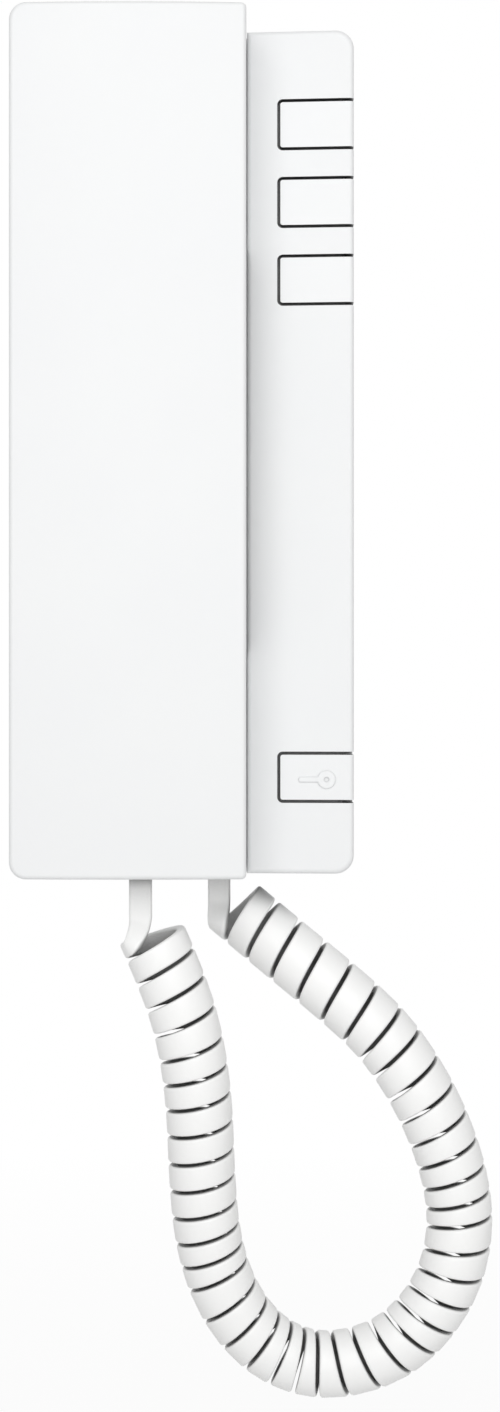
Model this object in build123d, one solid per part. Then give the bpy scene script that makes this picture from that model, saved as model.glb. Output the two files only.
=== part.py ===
from build123d import *
import math
import os

# Audio intercom handset for a wall: a base with three call buttons and a door button,
# a handset resting in the base's cradle, and the curly cord between them.
# Millimetres. X runs to the right, Z up, and the wall is the plane Y = 0.
# Everything stands in front of the wall, towards -Y, and a "depth" is a distance from the wall.
# The origin is the middle of the wall screws, on the back of the wall plate.

# Base
base_height = 213.7
strip_width = 27.05         # of the button strip, right of the handset
wall_gap = 0.6              # between the cover's rim and the wall
cover_wall = 2.2
deck_depth = 20.0           # front of the cradle, under the handset
strip_low_depth = 25.6      # front of the button strip, beside the handset
strip_high_depth = 27.9     # front of the button strip, at the right edge
base_left_corner_radius = 4.2
base_right_corner_radius = 4.7
least_corner_radius = 0.3   # a smaller corner, inside a wall, is left sharp
cover_edge_radius = 1.2

# Handset
handset_width = 58.2
handset_rise = 1.3          # how far its top stands above the base
handset_depth = 49.0        # its front, measured from the wall
handset_wall = 2.2
handset_crown = 1.2         # how far the front bulges across its width
handset_left_corner_radius = 4.2
handset_right_corner_radius = 1.3
handset_edge_radius = 1.1
seat_gap = 0.5              # between the handset's back and the cradle
side_gap = 0.15             # between the handset's flat side and the button strip's
grip_thickness = 16.0
ear_grip_gap = 4.6          # from the ear pad to the slope of the grip
mouth_grip_gap = 10.8       # from the mouth pad to the slope of the grip
grip_slope_run = 8.0
grip_bend_radius = 5.0
seam_drop = 11.0            # from the handset's front to the seam between its shells
seam_gap = 0.2
lip_height = 2.0
lip_wall = 1.0
lip_gap = 0.12

# Ear and mouth pads, and the wells of the cradle that hold them
lift_slope = 45.0           # degrees above level at which the handset lifts away
pad_height = 3.5
pad_clearance = 0.5
ear_drop = 29.0             # below the handset's top
ear_pad_radius = 20.5
mouth_height = 29.0         # above the handset's lower edge
mouth_pad_radius = 13.0
well_wall = 2.0
sound_slot_width = 1.4
sound_slot_pitch = 3.2
ear_slot_length = 14.0
ear_slots = 5
mouth_slot_length = 9.0
mouth_slots = 3

# Receiver and microphone
receiver_radius = 15.5
receiver_rim_height = 3.0
receiver_magnet_radius = 9.0
receiver_height = 10.0
gasket_height = 1.0
gasket_hole_radius = 12.0
cup_gap = 0.2               # between the microphone's rubber cup and the rib round it
microphone_radius = 4.85
microphone_height = 6.7
boot_wall = 1.5
boot_floor = 1.2
boot_gap = 0.1

# Wall plate
plate_thickness = 2.0
plate_gap = 0.4             # to the inside of the cover
rim_thickness = 1.6
rim_depth = 7.0
wall_hole_radius = 2.25
wall_hole_spacing = 83.5
box_hole_spacing = 60.0
cable_opening_width = 26.0
cable_opening_height = 34.0
cable_opening_corner_radius = 3.0
cable_opening_edge = 8.0    # from the plate's left edge
hook_tab_width = 9.0
hook_tab_thickness = 2.0
hook_tab_reach = 1.3
hook_tab_offset = 22.0
hook_tab_gap = 0.3
cover_lug_width = 12.0
cover_lug_depth = 12.0
cover_lug_height = 8.0
cover_lug_inset = 16.7      # from the base's left edge

# Circuit board
board_thickness = 1.6
board_standoff = 7.6        # from the wall plate to the board
board_edge_gap = 3.0        # to the inside of the cover on the right
board_post_radius = 3.2
board_post_inset = 4.0
board_post_lift = 16.0      # of the lower right post, clear of the door switch
board_top_gap = 8.0
board_jack_gap = 2.0        # from the cord's socket to the board's lower end
board_rest_side = 5.0       # of the plain square rests, where no screw sits
fit_gap = 0.05

# Buttons
button_margin = 8.05        # from the strip's left edge to the middle of the left gap
button_cell_height = 12.2   # from the middle of one gap to the middle of the other
button_gap = 0.8
button_pitch = 19.7
top_button_drop = 23.85     # below the base's top
door_button_height = 24.45  # above the base's lower edge
call_buttons = 3
button_wall = 1.5
button_wrap = 8.5           # how far the button reaches down the right side
button_travel = 0.8
button_corner_radius = 1.0
flange_reach = 1.2
flange_thickness = 1.2
flange_gap = 0.4
stem_side = 3.6
stem_gap = 0.3

# Push switches on the board
switch_side = 6.0
switch_height = 3.5
plunger_side = 3.0
plunger_gap = 0.08
plunger_seat_depth = 2.4
plunger_top_depth = 17.0
switch_inset = 10.7         # from the base's right edge

# Hook lever and its switch
lever_length = 17.0
lever_width = 5.0
lever_thickness = 2.0
lever_depth = 15.0          # front of the lever's arm
lever_nose_length = 4.6
lever_nose_width = 4.4
lever_pivot_height = 27.0   # above the base's lower edge
lever_well_gap = 1.5        # from the mouth pad's well to the lever's ear
lever_gap = 0.3
lever_swing = 8.0           # degrees that it turns outwards when the handset is lifted
pin_radius = 1.0
pin_fit = 0.06
hub_radius = 2.2
ear_thickness = 2.0
lever_ear_size = 6.0
pin_side_gap = 0.3
slot_gap = 0.6
hook_switch_height = 2.4
hook_switch_offset = 7.0    # above the lever's pin
spring_thickness = 0.3
spring_width = 3.0
spring_offset = 11.0        # above the lever's pin
spring_foot = 2.0
spring_reach = 5.5

# Call buzzer, terminals and other parts on the board
buzzer_radius = 10.5
buzzer_height = 6.0
buzzer_rise = 29.55         # above the door button
terminal_ways = 4
terminal_pitch = 5.0
terminal_depth = 8.0
terminal_height = 10.0
terminal_mouth = 3.2
terminal_screw_radius = 1.7
terminal_screw_height = 1.4
terminal_drop = 18.0        # below the lowest call button
terminal_inset = 15.0       # from the base's right edge
part_edge_gap = 1.0         # from the board's edge to what stands on it
capacitors = 2
capacitor_radius = 3.2
capacitor_height = 7.0
capacitor_spacing = 9.0
tone_slot_width = 1.6
tone_slot_length = 14.0
tone_slot_pitch = 4.0
tone_slots = 5
tone_slot_height_on_base = 62.0

# Screws
screw_shank_radius = 1.25
screw_head_radius = 2.6
screw_head_height = 1.8
screw_length = 9.0
screw_bite = 0.05           # between the shank and its pilot hole
screw_sink = 1.4            # how far the head's seat lies below the surface
screw_hole_gap = 0.35
screw_boss_radius = 3.9
handset_screw_inset = 7.8
handset_screw_sink = 4.0    # from the handset's back to the seat of the screw's head
sleeve_floor = 5.5          # from that seat to where the two shells' pillars meet
board_screw_length = 6.0

# Plugs and sockets at the two ends of the cord
plug_width = 7.7
plug_thickness = 6.1
plug_length = 12.5
plug_recess = 1.3           # how far it ends inside the lower edge
latch_width = 3.2
latch_thickness = 1.0
latch_drop = 1.0
plug_gap = 0.15
plug_hole_gap = 0.5
jack_width = 11.4
jack_thickness = 12.0
jack_length = 15.0
jack_gap = 0.3
contact_count = 4
contact_pitch = 1.27
contact_width = 0.5
contact_length = 4.0
contact_sink = 0.5

# Curly cord: a flat ribbon. Its free width is 5.8, and the solid's turns are a little
# narrower so that they stay apart on the inside of the bend, where the real ones overlap.
cord_width = 5.2
cord_thickness = 2.4
coil_radius = 6.8           # to the middle of the ribbon
cord_turns = 40
coil_pitch = 6.35           # along the straight stretches
coil_least_gap = 0.45
sections_per_turn = 12
lead_sections = 5
route_arc_share = 0.45      # of the shorter run beside a corner, taken by its arc
handset_lead_x = -11.2
handset_lead_depth = 29.5
handset_lead_drop = 11.65   # end of the straight lead, below the base's lower edge
base_lead_x = 8.2
base_lead_depth = 11.5
base_lead_drop = 8.65
entry_angle = 100.0         # degrees round the coil at the handset's end
exit_angle = 250.0          # degrees round the coil at the base's end

# Middle line of the coil, from the handset's end to the base's end, with its height
# measured from the base's lower edge
coil_route = [
    (-7.6, -29.0, -16.55), (-2.3, -28.5, -29.25), (1.5, -28.0, -42.75), (3.6, -27.5, -58.45),
    (4.2, -27.0, -76.25), (5.7, -26.0, -92.95), (10.8, -25.0, -107.65), (19.2, -24.5, -118.45),
    (29.1, -24.0, -123.95), (39.8, -23.5, -124.85), (52.1, -23.0, -121.15), (61.3, -22.5, -113.15),
    (67.7, -22.0, -102.25), (70.1, -21.5, -89.35), (68.3, -21.0, -76.65), (64.0, -20.0, -64.05),
    (58.2, -19.0, -52.65), (50.1, -18.0, -41.25), (38.5, -17.0, -30.85), (25.2, -15.5, -20.15),
    (15.6, -14.5, -12.05),
]

# One overrun for every cut that has to pass through a face
overrun = 1.0

# Small round pieces that nothing shows are made with so many flat sides
hidden_sides = 16

# Places that follow from the sizes above
base_width = handset_width + side_gap + strip_width
base_left = -base_width / 2
base_right = base_width / 2
base_bottom = -base_height / 2
base_top = base_height / 2
handset_left = base_left
handset_right = handset_left + handset_width
handset_bottom = base_bottom
handset_top = base_top + handset_rise
handset_middle = (handset_left + handset_right) / 2
handset_back_depth = deck_depth + seat_gap
grip_depth = handset_depth - grip_thickness
seam_depth = handset_depth - seam_drop
strip_left = handset_right + side_gap
strip_slope = math.atan2(strip_high_depth - strip_low_depth, base_right - strip_left)
lift_rise = math.tan(math.radians(lift_slope))
ear_z = handset_top - ear_drop
mouth_z = handset_bottom + mouth_height
pad_depth = handset_back_depth - pad_height
pad_floor_depth = pad_depth + handset_wall
well_depth = pad_depth - pad_clearance
lift_shift = pad_height * lift_rise
ear_capsule_z = ear_z - lift_shift / 2
mouth_capsule_z = mouth_z - lift_shift / 2
pads = [(ear_z, ear_pad_radius), (mouth_z, mouth_pad_radius)]
plate_top = base_top - cover_wall - plate_gap
plate_bottom = base_bottom + cover_wall + plate_gap
cable_opening_x = base_left + cover_wall + plate_gap + cable_opening_edge + cable_opening_width / 2
cover_screw_x = base_left + cover_lug_inset
cover_screw_depth = (plate_thickness + cover_lug_depth) / 2
jack_bottom = base_bottom + cover_wall + jack_gap
jack_top = jack_bottom + jack_length
lever_left = (handset_middle + mouth_pad_radius + pad_clearance + well_wall
              + lever_well_gap + ear_thickness + pin_side_gap)
lever_right = lever_left + lever_width
lever_middle = (lever_left + lever_right) / 2
board_back_depth = plate_thickness + board_standoff - board_thickness
board_front_depth = board_back_depth + board_thickness
board_right = base_right - cover_wall - board_edge_gap
board_left = lever_middle - (switch_side + part_edge_gap) / 2
board_top = base_top - cover_wall - board_top_gap
board_bottom = jack_top + board_jack_gap
board_posts = [
    (board_left + board_post_inset, board_top - board_post_inset),
    (board_right - board_post_inset, board_bottom + board_post_inset + board_post_lift),
]
board_rests = [
    (board_right - board_post_inset, board_top - board_post_inset),
    (board_left + board_post_inset, board_bottom + board_post_inset),
]
switch_x = base_right - switch_inset
switch_top_depth = board_front_depth + switch_height
button_left = strip_left + button_margin
button_back_depth = strip_high_depth - button_wrap
button_zs = [base_top - top_button_drop - row * button_pitch for row in range(call_buttons)]
door_button_z = base_bottom + door_button_height
lever_pivot_z = base_bottom + lever_pivot_height
lever_pivot_depth = lever_depth - lever_thickness / 2
lever_arm_back = lever_depth - lever_thickness
nose_left = lever_middle - lever_nose_width / 2
nose_right = lever_middle + lever_nose_width / 2
nose_high = lever_pivot_z + lever_length
nose_low = nose_high - lever_nose_length
nose_drop = (deck_depth - lever_pivot_depth) * math.sin(math.radians(lever_swing))
buzzer_x = board_right - buzzer_radius - part_edge_gap
buzzer_z = door_button_z + buzzer_rise
capacitor_x = board_left + capacitor_radius + part_edge_gap
terminal_x = base_right - terminal_inset
terminal_low = button_zs[-1] - terminal_drop - terminal_ways * terminal_pitch
terminal_zs = [terminal_low + (way + 1 / 2) * terminal_pitch for way in range(terminal_ways)]
head_seat_depth = handset_back_depth + handset_screw_sink
pillar_depth = head_seat_depth + sleeve_floor
handset_screws = [
    (handset_right - handset_screw_inset, handset_top - handset_screw_inset),
    (handset_left + handset_screw_inset, handset_bottom + handset_screw_inset),
]
plug_bottom = base_bottom + plug_recess
plug_top = plug_bottom + plug_length


def slab(left, right, low, high, back_depth, front_depth):
    """A block between two sides, two heights and two distances from the wall."""
    block = Box(right - left, front_depth - back_depth, high - low, align=(Align.MIN, Align.MIN, Align.MIN))
    return Pos(left, -front_depth, low) * block


def peg(x, z, radius, back_depth, front_depth):
    """A round bar that stands straight out from the wall."""
    disc = Plane.XZ.offset(back_depth) * Pos(x, z) * Circle(radius)
    return extrude(disc, front_depth - back_depth)


def hidden_peg(x, z, radius, back_depth, front_depth):
    """Like peg, in the few flat sides of a small piece that nothing shows."""
    disc = Plane.XZ.offset(back_depth) * Pos(x, z) * RegularPolygon(radius, hidden_sides)
    return extrude(disc, front_depth - back_depth)


def square_peg(x, z, side, back_depth, front_depth):
    """A square bar that stands straight out from the wall."""
    return slab(x - side / 2, x + side / 2, z - side / 2, z + side / 2, back_depth, front_depth)


def bar_along_x(left, length, radius):
    """A round bar along the line of the hook lever's pin."""
    place = Plane(origin=(left, -lever_pivot_depth, lever_pivot_z), z_dir=(1, 0, 0))
    return place * extrude(Circle(radius), length)


def slanted_peg(x, z, radius, back_depth, front_depth):
    """A round bar along the line on which the handset lifts, z being its height at the handset's back."""
    low_z = z - (handset_back_depth - back_depth) * lift_rise
    disc = Plane.XZ.offset(back_depth) * Pos(x, low_z) * Circle(radius)
    length = (front_depth - back_depth) / math.cos(math.radians(lift_slope))
    return extrude(disc, length, dir=(0, -1, lift_rise))


def drawn_in(radius, inset):
    """A corner radius on the inside of a wall, or nothing where the wall leaves it sharp."""
    return radius - inset if radius - inset > least_corner_radius else 0


def front_outline(left, right, low, high, left_radius, right_radius):
    """The front view of a housing, on the wall, with its own corner radius on each side."""
    sheet = Plane.XZ * Pos((left + right) / 2, (low + high) / 2) * Rectangle(right - left, high - low)
    if left_radius > 0:
        sheet = fillet(sheet.vertices().sort_by(Axis.X)[:2], left_radius)
    if right_radius > 0:
        sheet = fillet(sheet.vertices().sort_by(Axis.X)[-2:], right_radius)
    return sheet


def base_outline(inset):
    """Front view of the base, drawn in all round."""
    return front_outline(
        base_left + inset, base_right - inset, base_bottom + inset, base_top - inset,
        drawn_in(base_left_corner_radius, inset), drawn_in(base_right_corner_radius, inset),
    )


def handset_outline(inset):
    """Front view of the handset, drawn in all round."""
    return front_outline(
        handset_left + inset, handset_right - inset, handset_bottom + inset, handset_top - inset,
        drawn_in(handset_left_corner_radius, inset), drawn_in(handset_right_corner_radius, inset),
    )


def strip_depth_at(x):
    """How far the sloping face of the button strip stands from the wall."""
    return strip_low_depth + (x - strip_left) * math.tan(strip_slope)


def base_form(inset, foot):
    """The base as a solid: cradle on the left and sloping strip on the right, drawn in by a wall."""
    block = extrude(base_outline(inset), strip_high_depth + overrun)
    drop = inset / math.cos(strip_slope)
    section = Polyline(
        (base_left, -foot),
        (base_left, inset - deck_depth),
        (strip_left + inset, inset - deck_depth),
        (strip_left + inset, drop - strip_depth_at(strip_left + inset)),
        (base_right, drop - strip_high_depth),
        (base_right, -foot),
        close=True,
    )
    bar = extrude(make_face(section), base_height, dir=(0, 0, 1))
    return block & (Pos(0, 0, base_bottom) * bar)


def rounded_base_form():
    """The outside of the base, with its front edges rounded."""
    form = base_form(0, wall_gap)
    front_edges = []
    for edge in form.edges().filter_by(Axis.Y, reverse=True):
        middle = edge.center()
        in_front = middle.Y < overrun - deck_depth
        inner_corner = abs(middle.X - strip_left) < side_gap and abs(middle.Y + deck_depth) < seat_gap
        if in_front and not inner_corner:
            front_edges.append(edge)
    return fillet(front_edges, cover_edge_radius)


def button_cell(z, margin, back_depth):
    """The place of one button, with a margin all round and rounded corners on the left."""
    half = button_cell_height / 2 + margin
    block = slab(button_left - margin, base_right + overrun, z - half, z + half,
                 back_depth, strip_high_depth + overrun)
    corners = block.edges().filter_by(Axis.Y).sort_by(Axis.X)[:2]
    return fillet(corners, button_corner_radius + margin)


def plug_cell(x, depth, low, high, margin):
    """The room that a plug and its latch take, with a margin all round."""
    half_width = plug_width / 2 + margin
    half_thickness = plug_thickness / 2 + margin
    body = slab(x - half_width, x + half_width, low, high, depth - half_thickness, depth + half_thickness)
    latch_half = latch_width / 2 + margin
    latch_depth = depth - half_thickness - latch_drop - latch_thickness
    return body + slab(x - latch_half, x + latch_half, low, high, latch_depth, depth)


def make_hook_tabs(margin):
    """The two tabs at the plate's top that hold the cover, or their pockets with a margin."""
    tabs = []
    for middle in (-hook_tab_offset, hook_tab_offset):
        half = hook_tab_width / 2 + margin
        tabs.append(slab(middle - half, middle + half,
                         plate_top - rim_thickness / 2, plate_top + hook_tab_reach + margin,
                         rim_depth - hook_tab_thickness - margin, rim_depth + margin))
    return tabs


def make_tone_slots():
    """Short slots in the cradle, under the grip, that let the call tone out."""
    slots = []
    for row in range(tone_slots):
        low = base_bottom + tone_slot_height_on_base + row * tone_slot_pitch
        slots.append(slab(handset_middle - tone_slot_length / 2, handset_middle + tone_slot_length / 2,
                          low, low + tone_slot_width,
                          deck_depth - cover_wall - overrun, deck_depth + overrun))
    return slots


def cover_screw_bore():
    """Stepped hole in the cover's lower edge for the screw that holds the cover."""
    place = Plane(origin=(cover_screw_x, -cover_screw_depth, base_bottom), z_dir=(0, 0, 1))
    hole = place * extrude(RegularPolygon(screw_shank_radius + screw_hole_gap, hidden_sides),
                           cover_wall + overrun)
    seat = place * extrude(Circle(screw_head_radius + screw_hole_gap), screw_sink)
    return [hole, seat]


def make_lever_ears():
    """Two ears under the cradle that carry the hook lever's pin."""
    ears = []
    half = lever_ear_size / 2
    for left in (lever_left - pin_side_gap - ear_thickness, lever_right + pin_side_gap):
        ear = slab(left, left + ear_thickness, lever_pivot_z - half, lever_pivot_z + half,
                   lever_pivot_depth - half, deck_depth - cover_wall / 2)
        ears.append(ear - bar_along_x(left - overrun, ear_thickness + 2 * overrun, pin_radius + pin_fit))
    return ears


def make_base_cover(form):
    """Shell of the base, with the cradle's wells, button windows, lever slot and plug hole."""
    shell = form - base_form(cover_wall, -overrun)
    for z, radius in pads:
        shell += slanted_peg(handset_middle, z, radius + pad_clearance + well_wall,
                             well_depth - well_wall, deck_depth - cover_wall / 2)
    for z, radius in pads:
        shell -= slanted_peg(handset_middle, z, radius + pad_clearance, well_depth, deck_depth + overrun)
    window_depth = button_back_depth - button_travel - button_gap
    for z in button_zs + [door_button_z]:
        shell -= button_cell(z, button_gap / 2, window_depth)
    shell -= make_tone_slots()
    shell -= slab(nose_left - slot_gap, nose_right + slot_gap, nose_low - slot_gap - nose_drop,
                  nose_high + slot_gap, lever_depth, deck_depth + overrun)
    shell -= plug_cell(base_lead_x, base_lead_depth, base_bottom - overrun,
                       base_bottom + cover_wall + overrun, plug_hole_gap)
    shell -= make_hook_tabs(hook_tab_gap)
    shell -= cover_screw_bore()
    return shell + make_lever_ears()


def make_back_plate():
    """Plate that is screwed to the wall, with its rim, posts, hook tabs and the cover screw's lug."""
    edge = cover_wall + plate_gap
    plate = extrude(base_outline(edge), plate_thickness)
    ring = extrude(base_outline(edge), rim_depth) - extrude(base_outline(edge + rim_thickness), rim_depth)
    jack_left = base_lead_x - jack_width / 2
    jack_right = base_lead_x + jack_width / 2
    ring -= slab(jack_left - jack_gap, jack_right + jack_gap, plate_bottom - overrun,
                 plate_bottom + rim_thickness + overrun, plate_thickness, rim_depth + overrun)
    plate += ring
    plate += make_hook_tabs(0)
    lug_left = cover_screw_x - cover_lug_width / 2
    plate += slab(lug_left, lug_left + cover_lug_width, plate_bottom, plate_bottom + cover_lug_height,
                  plate_thickness, cover_lug_depth)
    pilot = Plane(origin=(cover_screw_x, -cover_screw_depth, plate_bottom - overrun), z_dir=(0, 0, 1))
    plate -= pilot * extrude(RegularPolygon(screw_shank_radius + screw_bite, hidden_sides),
                             cover_lug_height + 2 * overrun)
    plate += slab(jack_left, jack_right, plate_bottom, jack_top, plate_thickness,
                  base_lead_depth - jack_thickness / 2)
    for x, z in board_posts:
        plate += hidden_peg(x, z, board_post_radius, plate_thickness, board_back_depth)
        plate -= hidden_peg(x, z, screw_shank_radius + screw_bite, plate_thickness,
                            board_back_depth + overrun)
    for x, z in board_rests:
        plate += square_peg(x, z, board_rest_side, plate_thickness, board_back_depth)
    for spacing in (wall_hole_spacing, box_hole_spacing):
        for z in (-spacing / 2, spacing / 2):
            plate -= peg(0, z, wall_hole_radius, -overrun, plate_thickness + overrun)
    opening = Plane.XZ.offset(-overrun) * Pos(cable_opening_x, 0) * RectangleRounded(
        cable_opening_width, cable_opening_height, cable_opening_corner_radius)
    return plate - extrude(opening, plate_thickness + 2 * overrun)


def make_circuit_board():
    """Narrow board behind the button strip, screwed to two posts and laid on two rests."""
    board = slab(board_left, board_right, board_bottom, board_top, board_back_depth, board_front_depth)
    for x, z in board_posts:
        board -= hidden_peg(x, z, screw_shank_radius + screw_hole_gap, board_back_depth - overrun,
                            board_front_depth + overrun)
    return board


def make_screw(place, length):
    """A pan-head screw whose head's seat lies at the place and whose shank runs along its Z."""
    shank = extrude(RegularPolygon(screw_shank_radius, hidden_sides), length)
    return place * (shank + extrude(RegularPolygon(screw_head_radius, hidden_sides), -screw_head_height))


def make_board_screws():
    """The two screws of the board."""
    return [make_screw(Plane(origin=(x, -board_front_depth, z), z_dir=(0, 1, 0)), board_screw_length)
            for x, z in board_posts]


def make_cover_screw():
    """The screw that holds the cover to the plate's lug, from below."""
    seat = (cover_screw_x, -cover_screw_depth, base_bottom + screw_sink)
    return make_screw(Plane(origin=seat, z_dir=(0, 0, 1)), screw_length)


def make_button(form, z):
    """One hollow button that wraps round the right edge, with its flange and stem."""
    cap = button_cell(z, -button_gap / 2, button_back_depth) & form
    half = button_cell_height / 2 - button_gap / 2
    room = slab(button_left + button_gap / 2 + button_wall, base_right, z - half + button_wall,
                z + half - button_wall, button_back_depth - overrun, strip_high_depth)
    cap -= room & base_form(button_wall, 0)
    flange_left = button_left + button_gap / 2 - flange_reach
    flange_depth = strip_depth_at(flange_left) - cover_wall / math.cos(strip_slope) - flange_gap
    flange = slab(flange_left, base_right - cover_wall - flange_gap, z - half - flange_reach,
                  z + half + flange_reach, flange_depth - flange_thickness, flange_depth)
    stem = square_peg(switch_x, z, stem_side, plunger_top_depth + stem_gap, flange_depth)
    return cap + flange + stem


def make_switch_bodies():
    """The four push switches, each with a square hole for its plunger."""
    bodies = []
    for z in button_zs + [door_button_z]:
        body = square_peg(switch_x, z, switch_side, board_front_depth, switch_top_depth)
        bodies.append(body - square_peg(switch_x, z, plunger_side + 2 * plunger_gap,
                                        switch_top_depth - plunger_seat_depth,
                                        switch_top_depth + overrun))
    return bodies


def make_plunger(z):
    """Plunger of one push switch."""
    low = switch_top_depth - plunger_seat_depth + button_travel + stem_gap
    return square_peg(switch_x, z, plunger_side, low, plunger_top_depth)


def make_hook_lever():
    """Lever that the handset holds down: a hub on a pin, an arm and a rounded nose."""
    hub = bar_along_x(lever_left, lever_width, hub_radius)
    arm = slab(lever_left, lever_right, lever_pivot_z, nose_high, lever_arm_back, lever_depth)
    nose = slab(nose_left, nose_right, nose_low, nose_high, lever_arm_back, handset_back_depth - lever_gap)
    tip_edges = nose.edges().filter_by(Axis.X).sort_by(Axis.Y)[:2]
    nose = fillet(tip_edges, lever_nose_length / 3)
    bore = bar_along_x(lever_left - overrun, lever_width + 2 * overrun, pin_radius + pin_fit)
    return hub + arm + nose - bore


def make_hook_pin():
    """Pin of the hook lever, held in the two ears."""
    reach = pin_side_gap + ear_thickness
    return bar_along_x(lever_left - reach, lever_width + 2 * reach, pin_radius)


def make_hook_switch():
    """Low push switch under the hook lever."""
    z = lever_pivot_z + hook_switch_offset
    body = square_peg(lever_middle, z, switch_side, board_front_depth, board_front_depth + hook_switch_height)
    return body + square_peg(lever_middle, z, plunger_side, board_front_depth, lever_arm_back - lever_gap)


def make_hook_spring():
    """Leaf spring on the board that rises to the lever's arm."""
    foot = lever_pivot_z + spring_offset
    tip_depth = lever_arm_back - lever_gap
    leaf = Plane.YZ * make_face(Polyline(
        (-board_front_depth, foot),
        (-board_front_depth, foot + spring_foot),
        (spring_thickness - tip_depth, foot + spring_reach),
        (-tip_depth, foot + spring_reach),
        (-board_front_depth - spring_thickness, foot + spring_foot),
        (-board_front_depth - spring_thickness, foot),
        close=True,
    ))
    return Pos(lever_middle - spring_width / 2, 0, 0) * extrude(leaf, spring_width, dir=(1, 0, 0))


def make_buzzer():
    """Round call buzzer on the board."""
    return hidden_peg(buzzer_x, buzzer_z, buzzer_radius, board_front_depth, board_front_depth + buzzer_height)


def make_terminal_block():
    """Row of screw terminals, with a wire mouth on the left and a screw hole in front of each."""
    left = terminal_x - terminal_depth / 2
    front = board_front_depth + terminal_height
    block = slab(left, left + terminal_depth, terminal_low, terminal_low + terminal_ways * terminal_pitch,
                 board_front_depth, front)
    half = terminal_mouth / 2
    for z in terminal_zs:
        block -= slab(left - overrun, terminal_x + half, z - half, z + half,
                      board_front_depth + half, board_front_depth + half + terminal_mouth)
        block -= hidden_peg(terminal_x, z, terminal_screw_radius + screw_bite,
                            board_front_depth + terminal_mouth, front + overrun)
    return block


def make_terminal_screws():
    """Short screws of the terminals, with a slot across each head."""
    screws = []
    front = board_front_depth + terminal_height - terminal_screw_height
    slot_half = terminal_screw_radius / 5
    for z in terminal_zs:
        screw = hidden_peg(terminal_x, z, terminal_screw_radius,
                           board_front_depth + terminal_height / 2, front)
        screws.append(screw - slab(terminal_x - terminal_depth, terminal_x + terminal_depth,
                                   z - slot_half, z + slot_half,
                                   front - terminal_screw_height / 2, front + overrun))
    return screws


def make_capacitors():
    """Round capacitors in a row on the board."""
    lowest = terminal_low + capacitor_radius
    return [hidden_peg(capacitor_x, lowest + row * capacitor_spacing, capacitor_radius,
                       board_front_depth, board_front_depth + capacitor_height)
            for row in range(capacitors)]


def handset_form(inset):
    """The handset as a solid: a bar with a bulging front and an arched grip, drawn in by a wall."""
    block = extrude(handset_outline(inset), handset_depth + overrun)
    middle_front = inset - handset_depth
    edge_front = middle_front + handset_crown
    left_end = (handset_left, edge_front)
    right_end = (handset_right, edge_front)
    crown = make_face(Curve() + [
        ThreePointArc(left_end, (handset_middle, middle_front), right_end),
        Polyline(right_end, (handset_right, 0), (handset_left, 0), left_end),
    ])
    bar = Pos(0, 0, handset_bottom) * extrude(crown, handset_top - handset_bottom, dir=(0, 0, 1))
    far = 2 * handset_depth
    high = ear_z - ear_pad_radius - ear_grip_gap
    low = mouth_z + mouth_pad_radius + mouth_grip_gap
    side = Plane.YZ * make_face(Polyline(
        (-far, handset_bottom - far), (-far, handset_top + far),
        (-handset_back_depth, handset_top + far), (-handset_back_depth, high),
        (-grip_depth, high - grip_slope_run), (-grip_depth, low + grip_slope_run),
        (-handset_back_depth, low), (-handset_back_depth, handset_bottom - far),
        close=True,
    ))
    bends = [corner for corner in side.vertices() if low - overrun < corner.Z < high + overrun]
    side = fillet(bends, grip_bend_radius)
    if inset > 0:
        side = offset(side, -inset)
    arch = Pos(handset_left, 0, 0) * extrude(side, handset_width, dir=(1, 0, 0))
    return block & bar & arch


def rounded_handset_form():
    """The outside of the handset, with its front edges rounded."""
    form = handset_form(0)
    edges = form.edges().filter_by(Axis.Y, reverse=True)
    edges = [edge for edge in edges if edge.center().Y < handset_crown + overrun - handset_depth]
    return fillet(edges, handset_edge_radius)


def handset_slab(low_depth, high_depth):
    """Everything of the handset between two distances from the wall."""
    return slab(handset_left - overrun, handset_right + overrun, handset_bottom - overrun,
                handset_top + overrun, low_depth, high_depth)


def make_handset_front(form):
    """Front shell of the handset, with a pillar for each screw."""
    shell = form - handset_form(handset_wall) - handset_slab(0, seam_depth)
    inside_front = handset_depth - handset_crown - handset_wall / 2
    for x, z in handset_screws:
        shell += hidden_peg(x, z, screw_boss_radius, pillar_depth, inside_front)
        shell -= hidden_peg(x, z, screw_shank_radius + screw_bite, pillar_depth - overrun,
                            head_seat_depth + screw_length + overrun)
    return shell - handset_plug_hole()


def handset_plug_hole():
    """The hole for the cord's plug in the handset's lower edge."""
    return plug_cell(handset_lead_x, handset_lead_depth, handset_bottom - overrun,
                     handset_bottom + handset_wall + overrun, plug_hole_gap)


def handset_ring(outside, inside, low_depth, high_depth):
    """A band round the inside of the handset, between two insets, notched for the cord's socket."""
    outer = extrude(handset_outline(outside), handset_depth)
    band = outer - extrude(handset_outline(inside), handset_depth)
    half_notch = jack_width / 2 + jack_gap
    half_depth = jack_thickness / 2 + jack_gap
    band -= slab(handset_lead_x - half_notch, handset_lead_x + half_notch, handset_bottom, jack_top,
                 handset_lead_depth - half_depth, handset_lead_depth + half_depth)
    return band & handset_slab(low_depth, high_depth)


def make_microphone_cup():
    """Round rib inside the mouth pad that holds the microphone's rubber cup."""
    inner = microphone_radius + boot_gap + boot_wall + cup_gap
    high = pad_floor_depth + microphone_height
    rib = hidden_peg(handset_middle, mouth_capsule_z, inner + lip_wall,
                     pad_floor_depth - handset_wall / 2, high)
    return rib - hidden_peg(handset_middle, mouth_capsule_z, inner, pad_floor_depth, high + overrun)


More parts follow.
